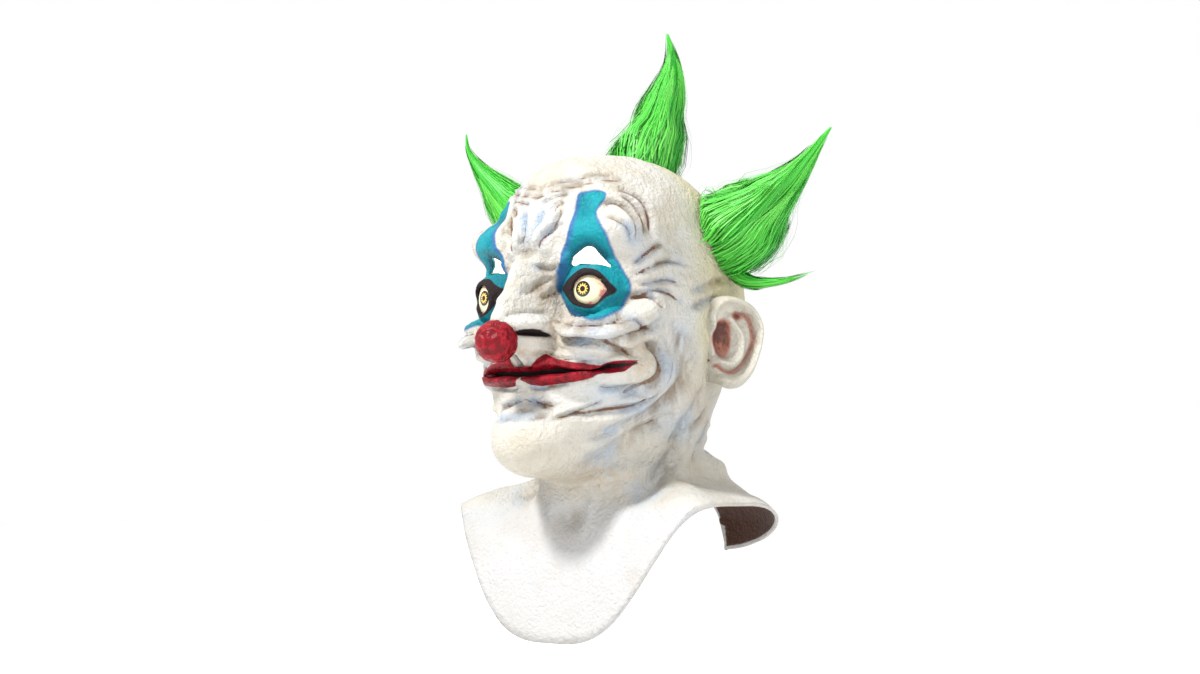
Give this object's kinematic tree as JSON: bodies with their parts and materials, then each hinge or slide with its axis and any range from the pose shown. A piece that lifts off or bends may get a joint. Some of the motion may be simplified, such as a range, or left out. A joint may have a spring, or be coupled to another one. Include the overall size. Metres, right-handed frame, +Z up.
{
  "type": "latex clown mask",
  "caption": "Full-head latex clown mask with a neck bib, glossy eyes over vision slots, ball nose, wide painted mouth, large ears and tufts of green hair.",
  "frame": {"origin": "crown seat inside the mask, where it sits on top of the head", "axes": "+Z up along the head, -Y where the face looks, +X towards the wearer's left ear"},
  "size_m": [0.415, 0.3081, 0.563],
  "materials": {
    "latex": "painted satin",
    "eyes": "gloss",
    "nose": "semi-gloss",
    "hair": "soft pile"
  },
  "bodies": {
    "root": {"latex_shell": "latex", "eye_left": "eyes", "eye_right": "eyes", "nose_ball": "nose", "hair_top": "hair", "hair_left": "hair", "hair_right": "hair"}
  },
  "joints": []
}
